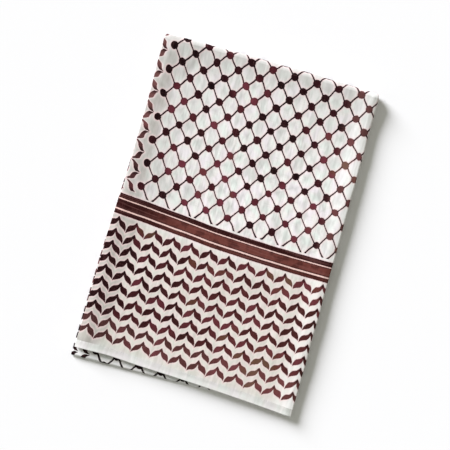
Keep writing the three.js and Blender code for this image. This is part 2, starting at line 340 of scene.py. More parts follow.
class Value:
    """A socket of a material's tree, on which sums are written as ordinary expressions."""

    __add__ = __radd__ = operator("ADD")
    __sub__ = operator("SUBTRACT")
    __mul__ = __rmul__ = operator("MULTIPLY")
    __truediv__ = operator("DIVIDE")
    __pow__ = operator("POWER")
    __abs__ = operator("ABSOLUTE")
    at_least, at_most = operator("MAXIMUM"), operator("MINIMUM")
    above, below = operator("GREATER_THAN"), operator("LESS_THAN")

    def __init__(self, tree, socket):
        self.tree, self.socket = tree, socket

    def make(self, kind, settings=None, inputs=None, output=0):
        node = self.tree.nodes.new(kind)
        for name, setting in (settings or {}).items():
            if name == "stops":
                for k, (place, colour) in enumerate(setting):
                    stop = node.color_ramp.elements[k] if k < 2 else node.color_ramp.elements.new(place)
                    stop.position, stop.color = place, colour
            else:
                setattr(node, name, setting)
        for name, given in (inputs or {}).items():
            if isinstance(given, Value):
                self.tree.links.new(given.socket, node.inputs[name])
            else:
                node.inputs[name].default_value = given
        return Value(self.tree, node.outputs[output])

    def math(self, operation, *others):
        return self.make("ShaderNodeMath", {"operation": operation}, dict(enumerate((self, *others))))

    def __rsub__(self, other):
        return (self * -1) + other

    def __neg__(self):
        return self * -1

    def ramp(self, low, high):
        """0 below low, 1 above high, smooth between."""
        return self.make("ShaderNodeMapRange", {"interpolation_type": "SMOOTHSTEP"},
                         {"Value": self, "From Min": low, "From Max": high})

    def fade(self, low, high):
        """1 below low, 0 above high, smooth between."""
        return 1 - self.ramp(low, high)

    def within(self, rise, fall):
        """0 before the rise and after the fall, 1 between them."""
        return self.ramp(*rise) * self.fade(*fall)

    def blend(self, first, last):
        """The colour first where this is 0, last where it is 1."""
        return self.make("ShaderNodeMix", {"data_type": "RGBA"}, {0: self, 6: first, 7: last}, 2)


def new_material(name):
    """A material and its shader."""
    material = bpy.data.materials.new(name)
    material.use_nodes = True
    return material, next(node for node in material.node_tree.nodes if node.type == "BSDF_PRINCIPLED")


def srgb(red, green, blue):
    def linear(part):
        part = part / 255
        return part / 12.92 if part <= 0.04045 else ((part + 0.055) / 1.055) ** 2.4
    return (linear(red), linear(green), linear(blue), 1.0)


# The print, in the cloth's own millimetres. It is mirrored about the cloth's two middle lines.
FOLD_U, MIDDLE_V = 162.3, 740.2
WOBBLE, STRIPE_WOBBLE = 3.4, 0.6  # how far the printing screen slips a little here and there
FRAY = 0.9  # how far the ink runs along the threads
BOLDER = 0.003  # the print is bolder towards the top and the left, a millimetre
AROUND_MIDDLE = (600, 720), (780, 880)  # along the cloth: the stretch at the middle fold
TOP_END = (150, 225)  # along the cloth: the left border's painted shade and show-through fade from here
RIGHT_SIDE = (126, 142)  # across it: from here the dye takes a painted sheen and the cloth a painted highlight
PRINT_SPLIT = -8  # knots lie above this, and leaves below

# The net. A line runs from beside one knot to beside the next, and rising lines are thicker.
KNOT_U, KNOT_V = -1.5, 178.7  # one knot
STEP_U, STEP_V = 16.43, 17.01  # half the way to the next knot across and along the cloth
KNOT_RADIUS = 5.4
LINE_HALF, LINE_START, LINE_BIAS = 0.99, 2.1, 0.05
FIRST_COLUMN = -8  # the net's outermost column of knots
NET_END = -6.6  # its lines run on to here, just above the stripes

STRIPES = ((-16.7, -9.8), (-31.2, -18.2), (-39.2, -33.3))
STRIPE_SLIP = 1.2  # the stripes lie higher by this much left of the middle
SLIP_ACROSS = (-160, -115), (-60, -10)
WIDE_MIDDLE, WIDE_HALF = -24.5, 5.0  # the wide stripe is the brownest
STRIPES_MIDDLE, STRIPES_HALF = -24.2, 13.6  # the ink bleeds between all three

# Rows of leaf pairs. A pair peaks in its middle over a notch, falls outwards and droops.
PEAK_U, PEAK_V, LEAF_WIDTH, LEAF_ROWS_APART, LEAF_ROWS = -41.8, -44.6, 27.87, 17.4, 10
LEAF_THICK, LEAF_TOP, LEAF_FALL, LEAF_REACH = 8.95, -0.9, 0.32, 13.4
LEAF_POINT, POINT_REACH, LEAF_TILT = 3.8, 2.5, 0.05
NOTCH, NOTCH_REACH = 6.6, 2.1
LEAF_DROOP, DROOP_START, DROOP_REACH, DROOP_BELOW = 6.2, 8.8, 4.8, 0.25
LEAF_SLANT = 0.8  # a slanting leaf is this thick for its height
ROW_SPLIT, SPLIT_FALL = 6.0, 9 / 13.9  # the line between two rows falls outwards too
ALONG_LEAVES = (-232, -214), (-52, -30)

# The left border has columns of such pairs turned on their side, and steeper.
COLUMN_TIP, COLUMN_V, COLUMN_STEP, COLUMNS = -139.5, -3.5, 29.4, 2
COLUMN_APART, SIDE_STEEP, SIDE_RISE = 17.0, 1.2, 3.2
SIDE_GAP, SIDE_REACH = 0.5, 14.2  # a leaf starts and ends this far from its pair's point
SIDE_FOOT, FOOT_START = 0.8, 9.8  # from there its foot turns outwards

# The side grey and the grey for faces turned to the lamp are painted shade, the border grey is painted
# shade with the turned-in border showing through, the shade of the streaks is partly painted shade, the
# bright white is a painted highlight, and the pale inside colour is painted light at the middle fold.
CLOTH_LIGHT, CLOTH_DARK, CLOTH_WARM = srgb(243, 243, 239), srgb(227, 227, 224), srgb(240, 230, 226)
CLOTH_SHADE, CLOTH_SIDE, CLOTH_LEAVES = srgb(198, 200, 196), srgb(202, 201, 197), srgb(209, 203, 191)
CLOTH_LIT_FOLD_SHADE, CLOTH_GREEN, CLOTH_LILAC = srgb(168, 168, 166), srgb(226, 238, 230), srgb(239, 230, 237)
CLOTH_PAINTED_LIGHT, CLOTH_BORDER = srgb(236, 238, 238), srgb(160, 155, 148)
CLOTH_PAINTED_HIGHLIGHT, GHOST = srgb(252, 252, 250), srgb(170, 172, 168)
BLEED, BLEED_WIDE, BLEED_STRIPES = srgb(234, 190, 192), srgb(246, 230, 227), srgb(234, 194, 182)
DYES = ((0.0, srgb(22, 5, 8)), (0.3, srgb(47, 15, 21)), (0.52, srgb(80, 32, 39)),
        (0.72, srgb(108, 48, 60)), (0.86, srgb(96, 58, 46)), (1.0, srgb(100, 80, 62)))
DYE_EDGE, DYE_LINE, DYE_POINT = srgb(38, 10, 14), srgb(24, 16, 18), srgb(18, 6, 8)
# The dark left and lighter right dyes are painted shade and sheen across the leaves; the worn dye is both
# wear and a painted sheen on the right side.
DYE_LEFT, DYE_RIGHT = srgb(42, 12, 10), srgb(96, 52, 46)
DYE_STRIPE, DYE_WIDE, DYE_WORN_AND_SHEEN = srgb(44, 13, 12), srgb(108, 59, 52), srgb(136, 92, 89)


def deepest(first, *others):
    """Motifs joined: how deep a place lies in any of them."""
    for other in others:
        first = first.at_least(other)
    return first


def only(depth, within):
    """The depth where within is 1, and well outside the print elsewhere."""
    return depth * within - (1 - within) * 5


def layered(colour, *coats):
    """The colour under its coats, each a share and a colour."""
    for share, coat in coats:
        colour = share.blend(colour, coat)
    return colour


def slubs(place, scale_u, scale_v, detail=2.0, lean=0.0, roughness=0.5):
    """Noise from 0 to 1, drawn out along or across the cloth."""
    stretched = place.make("ShaderNodeMapping", inputs={
        "Vector": place, "Rotation": (0, 0, math.radians(lean)), "Scale": (scale_u, scale_v, 1)})
    return place.make("ShaderNodeTexNoise", {"noise_dimensions": "2D"}, {
        "Vector": stretched, "Scale": 1.0, "Detail": detail, "Roughness": roughness})


def net_distances(u, v):
    """The column, the distances to the nearest knot and line, and two numbers for each knot."""
    across = (u - KNOT_U) / STEP_U
    along = (v - KNOT_V) / STEP_V
    rising, falling = (across + along) / 2, (across - along) / 2
    nearest = rising.math("ROUND"), falling.math("ROUND")
    off_rising, off_falling = rising - nearest[0], falling - nearest[1]
    dx = (off_rising + off_falling) * STEP_U
    dy = (off_rising - off_falling) * STEP_V
    to_knot = (dx * dx + dy * dy).math("SQRT")
    run_u, run_v = STEP_U / 2 - LINE_START, STEP_V / 2
    to_line = (abs(dx) - LINE_START) * run_v - abs(dy) * run_u
    to_line = abs(to_line) / math.hypot(run_u, run_v) - (dx * dy).math("SIGN") * LINE_BIAS
    return across, to_knot, to_line, nearest


def leaf_depth(across, height):
    """How deep a place lies inside a pair of leaves: one band of even thickness that rises to a
    small point in the middle, over a sharp notch, falls gently outwards and droops at both ends."""
    outwards = abs(across)
    point = (-(outwards / POINT_REACH) ** 2).math("EXPONENT") * LEAF_POINT
    droop = ((outwards - DROOP_START).at_least(0) / DROOP_REACH) ** 2 * LEAF_DROOP
    notch = (-outwards / NOTCH_REACH).math("EXPONENT") * NOTCH
    level = LEAF_TOP - outwards * LEAF_FALL
    upper = (level + point - droop - height) * LEAF_SLANT
    lower = (height - level - notch + LEAF_THICK + droop * DROOP_BELOW) * LEAF_SLANT
    return lower.at_most(upper).at_most(LEAF_REACH - outwards)


def leaf_rows(across, height, first, step, apart, count):
    """Depth inside the leaves of rows of pairs, two numbers that name the leaf, and its point."""
    shifted = (across - first) / step
    pair = shifted.math("ROUND")
    off = (shifted - pair) * LEAF_WIDTH
    fallen = ROW_SPLIT - abs(off) * SPLIT_FALL - height
    row = (fallen / apart).math("FLOOR")
    rel = height + row * apart
    depth = leaf_depth(off, rel - off * LEAF_TILT)
    within = row.above(-0.5) * row.below(count - 0.5)
    point = abs(off).fade(0.6, 2.8) * rel.ramp(-3.5, -0.5) * within
    return only(depth, within), pair + off.above(0) * 0.37, row, point


def print_place(place):
    """Where a point lies in the print, with the fray of its ink and the slips of its screen."""
    here = SimpleNamespace(place=place)
    u_raw = place.make("ShaderNodeSeparateXYZ", inputs={0: place}, output=0)
    v_raw = Value(place.tree, u_raw.socket.node.outputs[1])
    fray_u, fray_v = slubs(place, 0.9, 0.9) - 0.5, slubs(place, 0.8, 0.8, 1.0) - 0.5
    slip_u, slip_v = slubs(place, 0.045, 0.052, 1.0) - 0.5, slubs(place, 0.053, 0.047, 1.0) - 0.5
    here.u = FOLD_U - abs(u_raw - FOLD_U) + fray_u * FRAY + slip_u * WOBBLE
    here.v = MIDDLE_V - abs(v_raw - MIDDLE_V) + fray_v * FRAY + slip_v * WOBBLE
    here.stripe_v = here.v - slip_v * (WOBBLE - STRIPE_WOBBLE) - here.u.within(*SLIP_ACROSS) * STRIPE_SLIP
    here.deep = v_raw.within(*AROUND_MIDDLE)
    here.among_leaves = here.v.within(*ALONG_LEAVES)
    here.last_rows = here.v.fade(-190, -172)
    here.on_leaves = here.v.below(PRINT_SPLIT)
    return here


def draw_net(here):
    """Adds the depths inside the knots and lines, which are bolder at the top and the left."""
    across, to_knot, to_line, here.nearest = net_distances(here.u, here.v)
    bold = ((here.v - 110).at_least(-65) * here.u.ramp(-180, -20) - here.u * 0.25) * BOLDER
    bold = bold.at_most(0.4) * (1 - here.deep)
    here.knot = only(bold + KNOT_RADIUS - to_knot, across.above(FIRST_COLUMN - 0.5) * here.v.above(0))
    thick = LINE_HALF + bold * 0.45 + 0.3 * to_knot.fade(KNOT_RADIUS - 0.4, KNOT_RADIUS + 1.4)
    thick = thick + here.v.fade(-6, 16) * 0.25
    here.line = only(thick + here.deep * 0.35 - to_line, across.above(FIRST_COLUMN) * here.v.above(NET_END))


def draw_leaves(here):
    """Adds the depths inside the rows of leaves and the border's leaves, and their names."""
    leaves, here.pair, here.row, here.point = leaf_rows(
        here.u, here.v - PEAK_V, PEAK_U, LEAF_WIDTH, LEAF_ROWS_APART, LEAF_ROWS)
    here.leaves = leaves - here.u * BOLDER * 0.3 - here.last_rows * 0.1
    from_point = (here.v - COLUMN_V) / COLUMN_STEP
    here.from_point = abs(from_point - from_point.math("ROUND")) * COLUMN_STEP
    foot = (here.from_point - FOOT_START).at_least(0) * SIDE_FOOT
    side, here.side_pair, here.side_row = leaf_rows(
        here.v, (here.u - COLUMN_TIP) * SIDE_STEEP + foot + SIDE_RISE,
        COLUMN_V, COLUMN_STEP, COLUMN_APART * SIDE_STEEP, COLUMNS)[:3]
    side = side.at_most(here.from_point - SIDE_GAP).at_most(SIDE_REACH - here.from_point)
    here.side = only(side, here.v.above(COLUMN_V))
    here.on_side = here.side.above(-1) * (1 - here.on_leaves)


def luck_of_motif(here):
    """One number from 0 to 1 for each knot or leaf, because each takes the dye a little differently."""
    in_net = (1 - here.on_leaves) * (1 - here.on_side)
    key = here.place.make("ShaderNodeCombineXYZ", inputs={
        0: here.nearest[0] * in_net + here.pair * here.on_leaves * 7 + here.side_pair * here.on_side * 3,
        1: here.nearest[1] * in_net + here.row * here.on_leaves * 5 + here.side_row * here.on_side * 11})
    return here.place.make("ShaderNodeTexWhiteNoise", {"noise_dimensions": "2D"}, {"Vector": key})


def dye_colour(here, threads):
    """Maroon dye: darker at edges, points and lines, browner and worn in places, mottled on stripes,
    with painted shade towards the top, the left and the middle fold, and painted sheen to the right.
    """
    u, v, deep, among = here.u, here.v, here.deep, here.among_leaves
    tone = luck_of_motif(here) * 0.62 + slubs(here.place, 0.011, 0.013, 1.0) * 1.3
    # painted shade and sheen: the dye is darker towards the top and the left border, lighter to the right
    tone = tone + u * (among * 0.0008 + 0.0003)
    tone = tone - 0.47 - (v - 90).at_least(0) * 0.0022 - u.fade(-130, -120) * 0.4
    dye = tone.make("ShaderNodeValToRGB", {"stops": DYES}, {0: tone})
    lines = here.line.above(here.motif) * here.line.above(here.stripe)
    lines = lines * (0.9 - tone.ramp(0.4, 0.9) * 0.5 * (1 - deep) * v.ramp(-10, 60))
    dye = layered(
        dye,
        (here.depth.fade(0.1, 1.4) * 0.5, DYE_EDGE),
        # painted sheen on the right side
        (u.ramp(*RIGHT_SIDE) * (1 - among) * 0.4, DYE_WORN_AND_SHEEN),
        # painted shade on the left and painted sheen on the right, across the leaves
        (among * 0.36, u.ramp(-150, 120).blend(DYE_LEFT, DYE_RIGHT)),
        # the leaves' points are darker, and the ink round the middle fold is painted near black as painted
        # shade
        ((here.point * 0.8 + deep * 0.45).at_most(0.85), DYE_POINT),
        (lines, DYE_LINE),
        (here.on_side * (1 - deep) * (0.15 + v.ramp(50, 130) * 0.35), DYE_WORN_AND_SHEEN),
        (here.on_side * here.from_point.fade(1.0, 8.0) * 0.85, DYE_POINT))

    banded = here.stripe.ramp(0.0, 0.8)
    wide = abs(here.stripe_v - WIDE_MIDDLE).fade(WIDE_HALF, WIDE_HALF + 1.2)
    wide = wide.at_least(here.stripe_v.fade(-34, -32) * 0.5) * u.ramp(-140, -50)
    return layered(
        dye,
        (banded, wide.blend(DYE_STRIPE, DYE_WIDE)),
        (banded * slubs(here.place, 0.06, 0.1, 3.0).ramp(0.44, 0.66) * 0.55, DYE_STRIPE),
        (banded * slubs(here.place, 0.012, 0.5, 2.0).ramp(0.5, 0.7) * 0.25, DYE_WORN_AND_SHEEN),
        (banded * here.stripe.fade(0.7, 2.0) * 0.5, DYE_EDGE),
        (threads.ramp(0.52, 0.66) * 0.22 + here.last_rows * among * 0.2, DYE_WORN_AND_SHEEN))


def shown_through(here):
    """The share of the print of the thickness below that shows, mirrored, shifted and blurred."""
    sway = slubs(here.place, 0.02, 0.02, 1.0) - 0.5
    below = net_distances(2 * FOLD_U - here.u + 14.0 + sway * 22, here.v - 3.0 + sway * 14)
    ghost = below[1].fade(1.0, 9.0) * 0.75 + below[2].fade(0.3, 3.4) * 0.55
    return ghost * here.v.ramp(-10, 0) * slubs(here.place, 0.05, 0.02, 1.0).ramp(0.34, 0.6)


def painted_shade_and_highlight(here):
    """The shares of painted shade over the whole cloth, greyer to the left, the top, the top fold and
    the hem; of the grey band on the left, which is painted shade with the turned-in border showing
    through; and of the painted highlight on the right side."""
    u, v, among = here.u, here.v, here.among_leaves
    shaded = u.fade(-185, -20) * 0.6 + v.ramp(60, 230) * u.ramp(-140, -90) * 0.35
    shaded = shaded + v.ramp(205, 245) * 0.5 + u.fade(-152, -138) * 0.3
    shaded = (shaded + v.fade(*ALONG_LEAVES[0]) * 0.3) * (1 - among)
    beside = u - v.at_least(-120) * 0.04
    by_border = (beside - among * 8).fade(-136, -124) * (beside.ramp(-162, -152) + among).at_most(1)
    by_border = by_border * (1 - v.ramp(*TOP_END) * 0.6)
    by_border = by_border * (0.55 + slubs(here.place, 0.05, 0.04).ramp(0.3, 0.6) * 0.2) * (1 - here.deep)
    painted_highlight = beside.ramp(*RIGHT_SIDE) * 0.38 + beside.ramp(151, 158) * 0.54
    return shaded.at_most(0.9), by_border, painted_highlight


def bare_cloth(place, threads, turned, streaked):
    """Off-white voile with warm, green and lilac tints. Leaning grey streaks are partly the
    thicknesses below showing through and partly painted shade of small crinkles, and faces turned
    to the left or the top, towards the lamp, get a painted shade that greys the two folds there."""
    streaks = slubs(place, 0.085, 0.026, lean=-20, roughness=0.55)
    tint = slubs(place, 0.06, 0.045, 1.0)
    return layered(
        threads.ramp(0.36, 0.62).blend(CLOTH_DARK, CLOTH_LIGHT),
        (slubs(place, 0.035, 0.03, 3.0).ramp(0.42, 0.7) * 0.4, CLOTH_WARM),
        (tint.ramp(0.52, 0.64) * 0.6, CLOTH_GREEN),
        (tint.fade(0.36, 0.48) * 0.6, CLOTH_LILAC),
        # partly painted shade of small crinkles, partly the thicknesses below showing through
        (streaks.ramp(0.46, 0.66) * streaked, CLOTH_SHADE),
        # painted shade on the faces turned towards the lamp
        (turned.ramp(0.06, 0.5) * 0.9, CLOTH_LIT_FOLD_SHADE))


def printed_cloth(place, colour, threads, inside):
    """The bare cloth's colour with its ghosts, its painted shade, highlight and light, the ink's bleed and
    the print.
    """
    here = print_place(place)
    draw_net(here)
    draw_leaves(here)
    here.stripe = deepest(*((here.stripe_v - low).at_most(high - here.stripe_v) for low, high in STRIPES))
    here.motif = deepest(here.leaves, here.side, here.knot)
    here.depth = deepest(here.motif, here.line, here.stripe)
    ink = here.depth.ramp(-0.22, 0.22)
    bleed = here.depth.ramp(-1.9, -0.1) * (1 - ink)
    shaded, by_border, painted_highlight = painted_shade_and_highlight(here)
    return layered(
        colour,
        (shown_through(here) * 0.36, GHOST),
        (here.among_leaves * 0.66, CLOTH_LEAVES),
        # painted shade, greyer to the left, the top, the top fold and the hem
        (shaded, CLOTH_SIDE),
        # painted shade with the turned-in border showing through, as a grey band on the left
        (by_border, CLOTH_BORDER),
        # painted highlight on the right side and its fold
        (painted_highlight, CLOTH_PAINTED_HIGHLIGHT),
        # painted light: the cloth round the middle fold is paler and cooler where the hem's shadow falls
        (here.deep * 0.85, CLOTH_PAINTED_LIGHT),
        ((here.depth.ramp(-5.0, -0.5) - ink) * 0.22, BLEED_WIDE),
        (bleed * (1 - here.deep) * 0.5, BLEED),
        (abs(here.stripe_v - STRIPES_MIDDLE).fade(STRIPES_HALF, STRIPES_HALF + 0.8) * 0.7, BLEED_STRIPES),
        (ink * (1 - inside * 0.35), dye_colour(here, threads)))


def voile_material(name, printed):
    material, shader = new_material(name)
    tree = material.node_tree
    place = Value(tree, tree.nodes.new("ShaderNodeUVMap").outputs[0])
    place.socket.node.uv_map = "Cloth"
    inside = place.make("ShaderNodeAttribute", {"attribute_name": "Inside"}, output=2)
    turned = place.make("ShaderNodeAttribute", {"attribute_name": "Turned"}, output=2)

    threads = (slubs(place, 1.6, 0.05) + slubs(place, 0.05, 1.6)) * 0.5
    colour = bare_cloth(place, threads, turned, streaked=0.6 if printed else 0.3)
    if printed:
        colour = printed_cloth(place, colour, threads, inside)
    else:
        colour = place.make("ShaderNodeMix", {"data_type": "RGBA"}, {0: 0.55, 6: colour, 7: CLOTH_SIDE}, 2)
    tree.links.new(colour.socket, shader.inputs["Base Color"])

    weave = threads * 0.12 + slubs(place, 0.13, 0.035, 2.0)
    bump = place.make("ShaderNodeBump", inputs={"Height": weave, "Strength": 0.35, "Distance": 0.0012})
    tree.links.new(bump.socket, shader.inputs["Normal"])
    tree.links.new((threads * 0.1 + 0.8).socket, shader.inputs["Roughness"])
    shader.inputs["Sheen Weight"].default_value = 0.03
    shader.inputs["Sheen Roughness"].default_value = 0.5
    shader.inputs["Specular IOR Level"].default_value = 0.04
    return material


printed_voile = voile_material("printed voile", printed=True)


def printed_piece(name, stations, steps):
    grid, places, thickness, stretch = strip_grid(stations, steps)
    piece = cloth_shell(name, grid, places, thickness, chart_weights(stretch, grid))
    piece.data.materials.append(printed_voile)
    return piece


# Soft troughs and ridges of the upper side: x and y of the middle, direction in
# degrees, length, width and depth in millimetres, with a trough's depth below zero.
CREASES = [
    (-141, -95, 90, 210, 16, -0.9),
    (-143, 120, 88, 190, 15, -0.45),
    (92, -3, 176, 150, 11, -0.55),
    (-60, 6, 172, 120, 9, -0.25),
    (-100, -120, 93, 120, 14, 0.45),
    (-66, -150, 88, 110, 12, -0.3),
    (30, -130, 95, 150, 18, -0.35),
    (112, -118, 86, 150, 17, 0.5),
    (-112, 196, 60, 75, 13, -0.5),
    (-20, 217, 172, 110, 13, -0.4),
    (78, 219, 178, 100, 12, -0.5),
    (-92, 55, 128, 90, 14, -0.4),
    (118, 40, 118, 120, 20, 0.55),
    (40, 120, 116, 150, 16, -0.3),
    (10, 70, 118, 120, 14, 0.3),
    (-120, -220, 2, 80, 14, -0.2),
    (62, -225, 177, 130, 12, -0.2),
    (-80, -219, 172, 26, 10, -0.6),
    (3, -225, 178, 19, 5, -0.35),
    (38, -226.5, 176, 17, 5, -0.35),
    (84, -227.5, 178, 26, 6, -0.3),
]


def creased(x, y, creases):
    depth = 0 * x
    for middle_x, middle_y, degrees, length, width, deepness in creases:
        turn = math.radians(degrees)
        dx, dy = x - middle_x, y - middle_y
        along = dx * math.cos(turn) + dy * math.sin(turn)
        across = dy * math.cos(turn) - dx * math.sin(turn)
        depth = depth + deepness * bell(across, width / 2) * bell(along, length / 2)
    return depth


RUMPLE_LEAN, RUMPLE_LENGTH, RUMPLE_WIDTH = np.radians(108), 46, 11


def rumple(x, y, seed, height=0.22):
    """Small irregular ripples that lean a little from the length of the cloth."""
    along = (x * np.cos(RUMPLE_LEAN) + y * np.sin(RUMPLE_LEAN)) / RUMPLE_LENGTH
    across = (y * np.cos(RUMPLE_LEAN) - x * np.sin(RUMPLE_LEAN)) / RUMPLE_WIDTH
    values = [noise.noise(Vector((a, b, seed))) for a, b in zip(across.ravel(), along.ravel())]
    return height * np.array(values).reshape(x.shape)


def upper_ripple(x, y):
    inwards = np.minimum(x - left_edge(y), right_edge(y) - x)
    fade = smooth(inwards, 0, 14)
    from_end = y - end_line(FIRST_HEM, x)
    sink = 0.22 * bell(from_end - 5.4, 2.8) * (0.75 + 0.25 * np.sin(x / 19))
    roll = 0.42 * bell(from_end + 0.4, 2.6) - sink
    return fade * (creased(x, y, CREASES) + rumple(x, y, 3.1) * smooth(from_end, 4, 20)) + roll


def wandering(y, seed, reach=0.5):
    """How far a folded side strays from its line."""
    return reach * noise.noise(Vector((y / 34, seed, 0)))


def first_set_back(y):
    """The left side draws in a little, and both sides waver just above the hem."""
    left = 1.8 * bell(y - 20, 42) + 1.3 * smooth(-y, 50, 90)
    near_hem = smooth(y, -225, -200)
    return (left + near_hem * EDGE_WAVE * (0.5 + noise.noise(Vector((y / 13, 2.6, 0)))),
            near_hem * wandering(y, 6.1, EDGE_WAVE))


def past_hem(line):
    return lambda x: end_line(line, x) + HEM_WIDTH


def between(start, end, share):
    return lambda x: mix(start(x), end(x), share)


def at_middle(line):
    return float(line(np.zeros(1))[0])


first_stations = []
steps = np.linspace(0, 1, 125)
for share in steps - 0.11 * np.sin(2 * np.pi * steps):
    along = between(past_hem(FIRST_HEM), top_turn_start, share)
    first_stations.append(
        station(first_layer(along), first_set_back(at_middle(along)), on_cloth, upper_ripple))


def over_top(angle):
    def flat(x, y):
        u, v = on_cloth(x, top_turn_start(x))
        return u, v + angle * packet_height(x, top_fold(x)) / 2
    return flat


def turn_set_back(angle):
    """The fold draws in a little at its outermost line, and ends as wide as the underside."""
    share = angle / np.pi
    return (1.6 * math.sin(angle) + 0.6 * share, 1.2 * math.sin(angle) + 0.8 * share)


TURN_STEPS = 22
for angle in np.linspace(0, np.pi, TURN_STEPS + 1)[1:]:
    fade = max(0.0, math.cos(angle))

    def turn_ripple(x, y, fade=fade):
        return fade * upper_ripple(x, top_turn_start(x))
    first_stations.append(
        station(around_top_fold(angle), turn_set_back(angle), over_top(angle), turn_ripple))

first_end = printed_piece("first_end_voile", first_stations, STRETCHES)


# ---- The first hem ---------------------------------------------------------------------------
# The short end of the cloth on top: unprinted voile turned twice, about 11 mm wide, so three
# thicknesses lie on one another. It is a little plump at its edge and sinks in at its stitches.

HEM_PLY = 0.6  # what the turned-in cloth adds to the voile
HEM_ROUND = 0.75  # the folded edge is rounded over this length
HEM_ROWS = (11, 10.6, 10, 8.5, 7, 5.5, 4, 3, 2, 1.3, 0.75, 0.45, 0.22, 0.08, 0)  # from the edge
hem_voile = voile_material("plain hem voile", printed=False)


def hem_stations(line, layer, set_back, flat, ripple=None):
    """From the stitched edge of a hem to its folded edge, which thins to a rounded end."""
    stations = []
    for from_end in HEM_ROWS:
        stitched = smooth(HEM_WIDTH - from_end, 0, 1.2)
        short = max(0.0, 1 - from_end / HEM_ROUND)
        round_end = math.sqrt(1 - short ** 2)
        cloth = (VOILE + HEM_PLY * stitched) * max(round_end, 0.12)
        stations.append(station(layer(lambda x, d=from_end: end_line(line, x) + d),
                                set_back, flat, ripple, HEM_PLY * stitched, cloth))
    return stations[::-1]


def hem_piece(name, stations):
    grid, places, thickness, stretch = strip_grid(stations, STRETCHES)
    shrink = np.array([row["end"] / (VOILE + row["hem"]) for row in stations])
    piece = cloth_shell(name, grid, places, thickness * shrink[:, None], chart_weights(stretch, grid))
    piece.data.materials.append(hem_voile)
    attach(piece, "root")
    return piece


first_hem = hem_piece("first_hem_voile", hem_stations(
    FIRST_HEM, first_layer, first_set_back(-235.0), on_cloth, upper_ripple))
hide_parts("first_end_hem")


# ---- The stitches of the first hem -----------------------------------------------------------
# One row of off-white cotton lockstitch, about 3 mm a stitch, which holds the turned edge down.
# Each stitch is a short plump thread that dips into the voile at both ends.

STITCH_PITCH, STITCH_LENGTH, THREAD = 3.3, 2.6, 0.36


def stitch_line():
    """Points along the hem's inner edge, on the outer face of the cloth."""
    x = np.linspace(left_edge(-228) + 5, right_edge(-228) - 4, 220)
    y = end_line(FIRST_HEM, x) + HEM_WIDTH - 0.9
    points = np.stack([x, y, packet_height(x, y) + upper_ripple(x, y) + 0.02], 1) * MM
    mesh = bpy.data.meshes.new("stitch line")
    mesh.from_pydata(points.tolist(), [(k, k + 1) for k in range(len(points) - 1)], [])
    return placed("first_hem_stitches", mesh)


def thread_material():
    material, shader = new_material("cotton thread")
    tree = material.node_tree
    place = Value(tree, tree.nodes.new("ShaderNodeTexCoord").outputs["Object"])
    twist = place.make("ShaderNodeTexWave", {"bands_direction": "DIAGONAL"},
                       {"Vector": place, "Scale": 900.0, "Distortion": 1.0})
    colour = twist.blend(srgb(214, 211, 206), srgb(240, 238, 234))
    tree.links.new(colour.socket, shader.inputs["Base Color"])
    bump = place.make("ShaderNodeBump", inputs={"Height": twist, "Strength": 0.4, "Distance": 0.0001})
    tree.links.new(bump.socket, shader.inputs["Normal"])
    shader.inputs["Roughness"].default_value = 0.7
    return material


def stitch_tree(material):
    """Places one stitch at each pitch along the edges that it is given."""
    tree = bpy.data.node_groups.new("stitches", "GeometryNodeTree")
    tree.interface.new_socket("Geometry", in_out="INPUT", socket_type="NodeSocketGeometry")
    for name in ("Pitch", "Length", "Thread"):
        tree.interface.new_socket(name, in_out="INPUT", socket_type="NodeSocketFloat")
    tree.interface.new_socket("Geometry", in_out="OUTPUT", socket_type="NodeSocketGeometry")
    given = tree.nodes.new("NodeGroupInput")
    start = Value(tree, given.outputs["Geometry"])
    pitch, length, thread = (Value(tree, given.outputs[name]) for name in ("Pitch", "Length", "Thread"))
    curve = start.make("GeometryNodeMeshToCurve", inputs={"Mesh": start})
    spaced = start.make("GeometryNodeResampleCurve", {"mode": "LENGTH"}, {"Curve": curve, "Length": pitch})
    stitch = start.make("GeometryNodeMeshUVSphere", inputs={"Segments": 8, "Rings": 6, "Radius": 0.5})
    size = start.make("ShaderNodeCombineXYZ", inputs={0: length, 1: thread, 2: thread * 0.8})
    stitch = start.make("GeometryNodeTransform", inputs={"Geometry": stitch, "Scale": size})
    tangent = start.make("GeometryNodeInputTangent")
    turn = start.make("FunctionNodeAlignRotationToVector", {"axis": "X"}, {"Vector": tangent})
    uneven = start.make("FunctionNodeRandomValue", {"data_type": "FLOAT_VECTOR"},
                        {0: (0.9, 0.85, 0.85), 1: (1.05, 1.1, 1.1), "Seed": 4})
    copies = start.make("GeometryNodeInstanceOnPoints", inputs={
        "Points": spaced, "Instance": stitch, "Rotation": turn, "Scale": uneven})
    whole = start.make("GeometryNodeRealizeInstances", inputs={"Geometry": copies})
    whole = start.make("GeometryNodeSetMaterial", inputs={"Geometry": whole, "Material": material})
    out = tree.nodes.new("NodeGroupOutput")
    tree.links.new(whole.socket, out.inputs["Geometry"])
    return tree


stitches = stitch_line()
thread_white = thread_material()
modifier = stitches.modifiers.new("stitches", "NODES")
modifier.node_group = stitch_tree(thread_white)
sockets = {item.name: item.identifier for item in modifier.node_group.interface.items_tree
           if item.in_out == "INPUT"}
for name, size in (("Pitch", STITCH_PITCH), ("Length", STITCH_LENGTH), ("Thread", THREAD)):
    modifier[sockets[name]] = size * MM
evaluated = stitches.evaluated_get(bpy.context.evaluated_depsgraph_get())
stitches.data = bpy.data.meshes.new_from_object(evaluated)
stitches.modifiers.clear()
stitches.data.polygons.foreach_set("use_smooth", np.ones(len(stitches.data.polygons), bool))
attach(stitches, "root")

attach(first_end, "root")
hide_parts("first_end_panel")


# ---- The underside ---------------------------------------------------------------------------
# The same printed voile where the packet rests on it: from the top fold flat along the
# underside, round the middle fold and a hand's width back up inside. It lies flat and only a
# few creases are pressed up into it.

